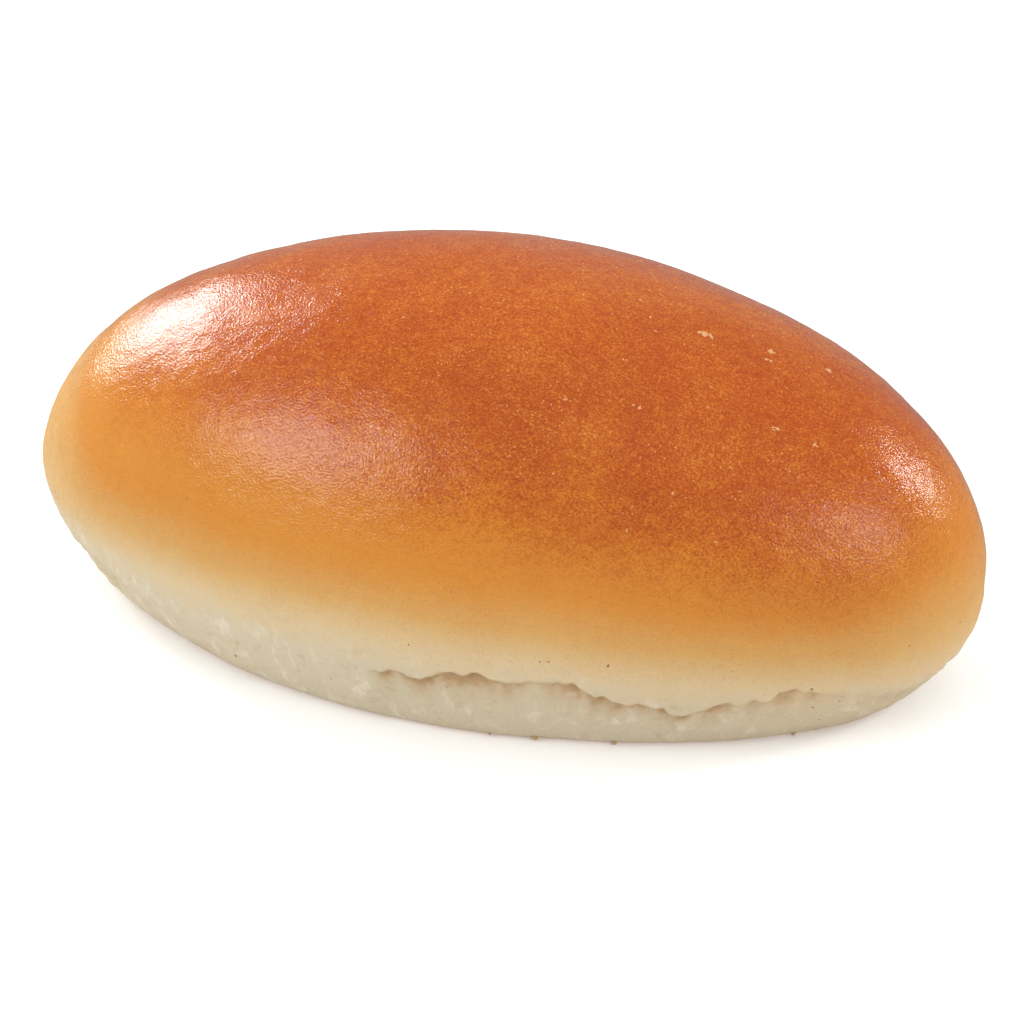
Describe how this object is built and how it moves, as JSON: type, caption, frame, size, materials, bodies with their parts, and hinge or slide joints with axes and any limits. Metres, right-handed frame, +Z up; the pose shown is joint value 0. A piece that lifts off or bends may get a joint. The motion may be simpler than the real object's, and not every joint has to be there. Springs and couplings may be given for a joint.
{
  "type": "bread roll",
  "caption": "Oval soft bread roll with a glazed brown domed crust, a ragged crust lip and a pale floury flat foot.",
  "frame": {"origin": "middle of the flat foot, on the surface that the roll rests on", "axes": "+X along the roll's length towards the end that the crown leans to, +Y across it, +Z up out of the crown"},
  "size_m": [0.125, 0.068, 0.0495],
  "materials": {
    "crust": "glazed golden-brown bread crust, paler and floury near the base"
  },
  "bodies": {
    "root": {"bread_roll": "crust"}
  },
  "joints": []
}
